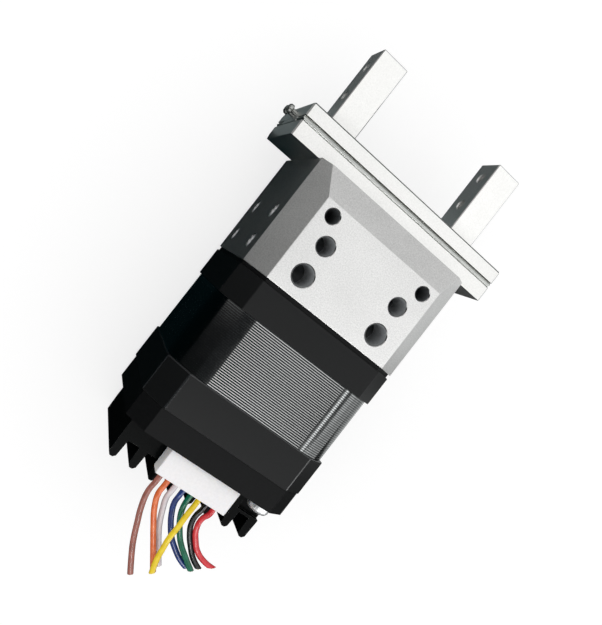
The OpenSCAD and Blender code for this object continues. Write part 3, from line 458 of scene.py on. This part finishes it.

# name, body, slot, width of the broken edge in mm, and what else holds:
#   from, angle, segments  as in the usual look; with one segment it is a chamfer
#   outer   only where two outside faces meet, neither of them the one towards the motor
#   even    the full width everywhere, also on short edges and where broken edges meet
#   finish  finish of the faces, where it isn't the slot's own
#   edge    finish of the broken edges
#   bright  stretch of the length, mm from the body's motor side, in which edges have that finish, so the
#   painted highlight lines show only there
#   mouth   finish of the countersinks of the holes
brokenEdges = {
    "gripper_body": ("milledBody", "base", "blasted_aluminium", 0.15,
                     {"from": 3, "angle": 20, "mouth": "rubbed_aluminium"}),
    "guide_base": ("guideBase", "base", "blasted_aluminium", 0.32, railLook),
    "guide_cover": ("guideCover", "base", "blasted_aluminium", 0.32, railLook),
    "left_finger": ("leftFinger", "left_jaw", "blasted_aluminium", 0.2, fingerLook),
    "right_finger": ("rightFinger", "right_jaw", "blasted_aluminium", 0.2, fingerLook),
    "left_slider": ("leftCarriage", "left_jaw", "hard_steel", 0.1, {"from": 1}),
    "right_slider": ("rightCarriage", "right_jaw", "hard_steel", 0.1, {"from": 1}),
    "upper_guide_strip": ("upperStrip", "base", "hard_steel", 0.54, stripLook),
    "lower_guide_strip": ("lowerStrip", "base", "hard_steel", 0.54, stripLook),
    "motor_front_cap": ("frontCap", "base", "black_paint", 0.2, {"from": 1}),
    # rear cap, housing and heatsink: their broken edges take a lighter black that paints highlight lines
    "motor_rear_cap": ("rearCap", "base", "black_paint", 0.25,
                       {"from": 1, "edge": "glossy_black_painted_highlight", "bright": (-32.5, -20)}),
    "driver_housing": ("driverShell", "base", "black_plastic", 0.25,
                       {"from": 1, "edge": "glossy_black_painted_highlight", "bright": (-40.5, -34.5)}),
    "heatsink": ("finnedHeatsink", "base", "black_anodised", 0.2, {"from": 1, "edge": "glossy_black_painted_highlight"}),
    "plug_housing": ("plugShell", "base", "white_nylon", 0.2, {"from": 0.5}),
    "cover_screws": ("coverScrews", "base", "black_steel", 0.05, {}),
    "end_studs": ("endStuds", "base", "black_steel", 0.08, {"finish": "hard_steel"}),
    "pan_head_screw": ("panHeadScrew", "base", "plated_steel", 0.12, {}),
}


def mergedCopy(node, name):  # a copy of a solid, its corners merged and its flat faces whole
    piece = nodes[node].copy()
    piece.data = nodes[node].data.copy()
    piece.name = piece.data.name = name
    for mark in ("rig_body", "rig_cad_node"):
        del piece[mark]
    piece.parent = None
    bpy.context.scene.collection.objects.link(piece)
    onlySelect(piece)
    bpy.ops.mesh.customdata_custom_splitnormals_clear()
    bpy.ops.object.mode_set(mode="EDIT")
    bpy.ops.mesh.select_all(action="SELECT")
    bpy.ops.mesh.remove_doubles(threshold=weld)
    bpy.ops.mesh.dissolve_limited(angle_limit=math.radians(0.6))
    bpy.ops.object.mode_set(mode="OBJECT")
    return piece


def weighEdges(piece, angle, shortest, outer):  # picks the edges that are broken
    shape = bmesh.new()
    shape.from_mesh(piece.data)
    weight = shape.edges.layers.float.new("bevel_weight_edge")
    corners = [Vector(corner) for corner in piece.bound_box]
    limits = [(min(c[i] for c in corners), max(c[i] for c in corners)) for i in range(3)]
    for side in shape.edges:
        sharp = side.is_manifold and side.calc_face_angle() > angle
        if outer:
            middle = (side.verts[0].co + side.verts[1].co) / 2
            near = [[abs(middle[i] - end) < 0.01 * mm for end in limits[i]] for i in range(3)]
            sharp = sharp and sum(any(ends) for ends in near) > 1 and not near[1][0]
        side[weight] = float(sharp and side.calc_length() > shortest)
    shape.to_mesh(piece.data)
    shape.free()


def breakEdges(node, name, body, slotName, width, extra):
    look = {**usual, "finish": slotName, **extra}
    angle = math.radians(look["angle"])
    piece = mergedCopy(node, name)
    weighEdges(piece, angle, look["from"] * mm, "outer" in look)
    piece.data.materials.clear()
    piece.data.materials.append(finishes[look["finish"]])
    edge = piece.modifiers.new("brokenEdge", "BEVEL")
    edge.width = width * mm
    edge.segments = look["segments"]
    edge.limit_method = "WEIGHT"
    edge.use_clamp_overlap = edge.loop_slide = "even" not in look
    if "edge" in look:
        piece.data.materials.append(finishes[look["edge"]])
        edge.material = 1
    bpy.ops.object.modifier_apply(modifier="brokenEdge")
    # outside the bright stretch the edges lose their lighter finish, so the painted highlight lines stay
    # inside it
    if "bright" in look:
        start, end = look["bright"]
        for face in piece.data.polygons:
            if not start < (face.center.y - faceY) / mm < end:
                face.material_index = 0
    if "mouth" in look:
        piece.data.materials.append(finishes[look["mouth"]])
        least, most = countersink["slant"]
        for face in piece.data.polygons:
            slant = max(abs(part) for part in face.normal)
            if least < slant < most and face.area < countersink["area"] * mm * mm:
                face.material_index = 1
    bpy.ops.object.shade_smooth_by_angle(angle=angle)
    flat = piece.modifiers.new("flatFaces", "WEIGHTED_NORMAL")
    flat.keep_sharp = True
    bpy.ops.object.modifier_apply(modifier="flatFaces")
    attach(piece, body)
    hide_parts(node)


for node, values in brokenEdges.items():
    breakEdges(node, *values)
print("edges broken on", len(brokenEdges), "pieces")

# end blocks of the guide: they close the gap between base and cover past the sliders
endBlocks = {
    "sides": {"leftEndBlock": -1, "rightEndBlock": 1},
    "depth": 2.5, "play": 0.03, "edge": 0.1,  # mm
}


def addEndBlock(name, side, look):
    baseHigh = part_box("guide_base")[1]
    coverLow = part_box("guide_cover")[0]
    stripInner = min(abs(end[2] - axisZ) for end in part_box("upper_guide_strip"))
    play = look["play"] * mm
    depth = look["depth"] * mm
    size = (depth, coverLow[1] - baseHigh[1] - 2 * play, 2 * (stripInner - play))
    middle = (side * (baseHigh[0] - depth / 2), (baseHigh[1] + coverLow[1]) / 2, axisZ)
    bpy.ops.object.select_all(action="DESELECT")
    bpy.ops.mesh.primitive_cube_add(size=1)
    block = bpy.context.view_layer.objects.active
    block.name = block.data.name = name
    block.data.transform(Matrix.Translation(middle) @ Matrix.Diagonal((*size, 1)))
    bevel = block.modifiers.new("brokenEdge", "BEVEL")
    bevel.width = look["edge"] * mm
    bevel.segments = 2
    bpy.ops.object.modifier_apply(modifier="brokenEdge")
    settle(block, "base", finishes["rail_aluminium"], "blasted_aluminium")


for name, side in endBlocks["sides"].items():
    addEndBlock(name, side, endBlocks)
print("guide ends closed")

# threads of the tapped holes
threads = {
    "steps": 28,  # sides of a turn
    "clear": 0.01, "start": 0.27,  # gap to the bore, and depth at which the thread starts, mm
    # a tooth, in parts of the pitch: its height, and where its crest starts, ends and has fallen off
    "height": 0.2, "crest": (0.4, 0.55), "fall": 0.95,
    # the drill's cone at the bottom: height, gap under it and radius of its tip, mm
    "cone": 0.8, "coneGap": 0.1, "coneTip": 0.02,
    # name, finish, outward axis, pitch, radius and depth in mm, mouths from the motor axis in mm
    "sets": [
        ("frontThreadsM6", "tapped_aluminium", (0, 0, 1), 1.0, 2.5, 8.9,
         [(x, 4.8, bodyHalf) for x in (-10.3, 10.3)]),
        ("frontThreadsM5", "tapped_aluminium", (0, 0, 1), 0.8, 2.1, 8.9,
         [(x, 12.3, bodyHalf) for x in (-10.3, 10.3)]),
        # the front's narrow pair takes the darker thread finish, painted shade
        ("frontThreadsM4", "bored_aluminium", (0, 0, 1), 0.7, 1.65, 8.9,
         [(x, 17.9, bodyHalf) for x in (-13, 13)]),
        ("leftThreadsM4", "tapped_aluminium", (-1, 0, 0), 0.7, 1.65, 4.9,
         [(-bodyHalf, y, z) for y in (4.4, 12.4) for z in (-10, 10)]),
        ("rightThreadsM4", "tapped_aluminium", (1, 0, 0), 0.7, 1.65, 4.9,
         [(bodyHalf, y, z) for y in (4.4, 12.4) for z in (-10, 10)]),
    ],
}


def cutThread(name, finish, pitch, radius, depth, look):  # along Z, mouth at the origin, blind end below it
    wall = (radius - look["clear"]) * mm
    crest = wall - look["height"] * pitch * mm
    bottom = -depth * mm
    cone = look["cone"] * mm
    coneBottom = bottom + look["coneGap"] * mm
    tooth = [(wall, 0), (crest, look["crest"][0]), (crest, look["crest"][1]), (wall, look["fall"]), (wall, 1)]
    shape = bpy.data.meshes.new(name)
    shape.from_pydata([(x, 0, bottom + part * pitch * mm) for x, part in tooth],
                      [(i, i + 1) for i in range(len(tooth) - 1)], [])
    piece = bpy.data.objects.new(name, shape)
    bpy.context.scene.collection.objects.link(piece)
    onlySelect(piece)
    helix = piece.modifiers.new("helix", "SCREW")
    helix.axis = "Z"
    helix.screw_offset = pitch * mm
    helix.angle = math.tau
    helix.iterations = math.ceil(depth / pitch) + 1
    helix.steps = helix.render_steps = look["steps"]
    helix.use_merge_vertices = True
    helix.merge_threshold = weld
    bpy.ops.object.modifier_apply(modifier="helix")
    bpy.ops.object.mode_set(mode="EDIT")
    bpy.ops.mesh.select_all(action="SELECT")
    bpy.ops.mesh.remove_doubles(threshold=weld)
    # cut to length at the countersink and at the cone's shoulder, then close the end with the cone
    bpy.ops.mesh.bisect(plane_co=(0, 0, -look["start"] * mm), plane_no=(0, 0, 1), clear_outer=True)
    bpy.ops.mesh.select_all(action="SELECT")
    bpy.ops.mesh.bisect(plane_co=(0, 0, coneBottom + cone), plane_no=(0, 0, 1), clear_inner=True)
    bpy.ops.object.mode_set(mode="OBJECT")
    bpy.ops.mesh.primitive_cone_add(vertices=look["steps"], radius1=wall, radius2=look["coneTip"] * mm,
                                    depth=cone, end_fill_type="NOTHING",
                                    location=(0, 0, coneBottom + cone / 2), rotation=(math.pi, 0, 0))
    end = bpy.context.view_layer.objects.active
    piece.data.materials.append(finishes[finish])
    # the drill point is painted dark as shade at the bottom of the hole
    end.data.materials.append(finishes["drill_point_painted_shade"])
    onlySelect(piece, end)
    bpy.ops.object.join()
    bpy.ops.object.mode_set(mode="EDIT")
    bpy.ops.mesh.select_all(action="SELECT")
    bpy.ops.mesh.normals_make_consistent(inside=True)
    bpy.ops.object.mode_set(mode="OBJECT")
    bpy.ops.object.shade_smooth_by_angle(angle=math.radians(28))
    return piece


def addThreads(name, finish, outward, pitch, radius, depth, mouths, look):
    turn = Vector(outward).to_track_quat("Z", "Y").to_matrix().to_4x4()
    holes = []
    for mouth in mouths:
        hole = cutThread(name, finish, pitch, radius, depth, look)
        hole.data.transform(Matrix.Translation(fromAxis(*mouth)) @ turn)
        holes.append(hole)
    onlySelect(*holes)
    bpy.ops.object.join()
    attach(holes[0], "base")


for holeSet in threads["sets"]:
    addThreads(*holeSet, threads)
print("threads cut")

# the solids that stay get their finish
slotOf = {part["node"]: part["material_slot"] for part in frame["record"]["subparts"]}
for name, solid in nodes.items():
    if not solid.hide_render:
        solid.data.materials.clear()
        solid.data.materials.append(finishes[slotOf[name]])
print("solids dressed")

# floor, world, cards and lamp
studio = {
    # colour of the floor's glow, colour of its paper, which takes the shadow, and their width in metres
    "floor": "#ffffff", "paper": "#aaaaaa", "floorSize": 4,
    # strength of the glow, which only the camera and reflections see, and of the sky's light on the object
    "glow": 0.66, "fill": 0.85,
    "lamp": {"place": (0.2, 0, 1.5), "aim": (0, 0, 0.02), "size": 2.0, "power": 3},  # metres and watts
    # cards that only reflections see: low corner, high corner in mm, tone, strength
    "cards": {
        "darkFloorLeft": ((-350, -90, 0.4), (12, 27, 0.4), "#041215", 1),
        "railFloorLeft": ((-350, 27, 0.4), (15, 42, 0.4), "#5a6263", 1),
        "dimFloorLeft": ((-350, 42, 0.4), (15, 120, 0.4), "#454b4c", 1),
        "darkFloorRight": ((12, 3, 0.6), (76, 38, 0.6), "#0a0f11", 1),
        "darkFloorRear": ((-80, -220, 0.7), (90, -48, 0.7), "#0a0c0d", 1),
        "darkWallLeft": ((-350, -350, 0), (-350, 300, 76), "#040d10", 1),
        "dimWallLeft": ((-350, -20, 76), (-350, 300, 700), "#b9b9b8", 1),
        "blackWallLeft": ((-350, -350, 76), (-350, -20, 700), "#1a1e20", 1),
        "darkWallRear": ((-350, -350, 0), (350, -350, 160), "#14191b", 1),
        "dimFloorRight": ((34, -10, 0.5), (400, 4, 0.5), "#1c1e1e", 1),
        "dimFloorRear": ((34, -200, 0.5), (400, -34, 0.5), "#2a2c2c", 1),
        "greyFloorRight": ((34, -34, 0.4), (400, 200, 0.4), "#d8dada", 1),
        "greyFloorTop": ((-300, 130, 0.5), (400, 450, 0.5), "#5e6060", 1),
        "greyWallTop": ((-300, 450, 0), (400, 450, 600), "#dedede", 1),
        "darkCeilingLeft": ((-2500, -700, 1400), (285, 60, 1400), "#2c3032", 1),
        "dimCeiling": ((610, -260, 1400), (860, 0, 1400), "#282a2a", 1),
        "brightCeiling": ((890, -260, 1400), (1170, 0, 1400), "#ffffff", 3.7),
        "dimCeilingRight": ((1190, -260, 1400), (1800, 0, 1400), "#5a5c5c", 1),
        "brightCeilingFar": ((1850, -260, 1400), (4200, 0, 1400), "#ffffff", 1.6),
        "leadCeiling": ((230, -850, 1400), (330, -430, 1400), "#ffffff", 34),
        "brightWallRight": ((900, -330, 250), (900, -205, 900), "#ffffff", 7),
    },
}


def seenRays(tree):  # 1 where the camera looks, straight, in a reflection or through glass, else 0
    rays = addNode(tree, "LightPath").outputs
    seen = addNode(tree, "Math", {0: rays["Is Camera Ray"], 1: rays["Is Glossy Ray"]}, operation="MAXIMUM")
    seen = addNode(tree, "Math", {0: seen.outputs[0], 1: rays["Is Transmission Ray"]}, operation="MAXIMUM")
    return seen.outputs[0]


def addFloor(look):
    bpy.ops.object.select_all(action="DESELECT")
    bpy.ops.mesh.primitive_plane_add(size=look["floorSize"], location=(0, 0, -0.05 * mm))
    floor = bpy.context.view_layer.objects.active
    floor.name = "floor"
    finish = bpy.data.materials.new("matt_white_sweep")
    finish.use_nodes = True
    tree = finish.node_tree
    tree.nodes.clear()
    share = addNode(tree, "Math", {0: seenRays(tree), 1: look["glow"]}, operation="MULTIPLY")
    glow = addNode(tree, "Emission", {"Color": linear(look["floor"]), "Strength": share.outputs[0]})
    paper = addNode(tree, "BsdfDiffuse", {"Color": linear(look["paper"])})
    both = addNode(tree, "AddShader", {0: glow.outputs[0], 1: paper.outputs[0]})
    addNode(tree, "OutputMaterial", {"Surface": both.outputs[0]})
    floor.data.materials.append(finish)


def addWorld(look):
    world = bpy.data.worlds.new("studio")
    bpy.context.scene.world = world
    world.use_nodes = True
    tree = world.node_tree
    tree.nodes.clear()
    power = addNode(tree, "MapRange", {"Value": seenRays(tree), "To Min": look["fill"], "To Max": 1.0})
    sky = addNode(tree, "Background", {"Color": linear("#ffffff"), "Strength": power.outputs["Result"]})
    addNode(tree, "OutputWorld", {"Surface": sky.outputs[0]})


def addLamp(name, look):
    lamp = bpy.data.lights.new(name, "AREA")
    lamp.shape = "SQUARE"
    lamp.size = look["size"]
    lamp.energy = look["power"]
    stand = bpy.data.objects.new(name, lamp)
    bpy.context.scene.collection.objects.link(stand)
    stand.location = look["place"]
    stand.rotation_mode = "QUATERNION"
    stand.rotation_quaternion = (Vector(look["aim"]) - Vector(look["place"])).to_track_quat("-Z", "Y")


def addCard(name, low, high, tone, strength):
    # a card stands square to the axis along which its two corners agree
    if low[0] == high[0]:
        corners = [(low[0], y, z) for z in (low[2], high[2]) for y in (low[1], high[1])]
    elif low[1] == high[1]:
        corners = [(x, low[1], z) for z in (low[2], high[2]) for x in (low[0], high[0])]
    else:
        corners = [(x, y, low[2]) for y in (low[1], high[1]) for x in (low[0], high[0])]
    bpy.ops.object.select_all(action="DESELECT")
    bpy.ops.mesh.primitive_plane_add(size=1)
    card = bpy.context.view_layer.objects.active
    card.name = name
    for corner, place in zip(card.data.vertices, corners):
        corner.co = Vector(place) * mm
    finish = bpy.data.materials.new(name)
    finish.use_nodes = True
    tree = finish.node_tree
    tree.nodes.clear()
    light = addNode(tree, "Emission", {"Color": linear(tone), "Strength": strength})
    addNode(tree, "OutputMaterial", {"Surface": light.outputs[0]})
    card.data.materials.append(finish)
    card.visible_camera = card.visible_shadow = card.visible_diffuse = False


addFloor(studio)
addWorld(studio)
for name, look in studio["cards"].items():
    addCard(name, *look)
addLamp("overhead", studio["lamp"])
bpy.context.scene.view_settings.view_transform = "Standard"
print("studio lit")
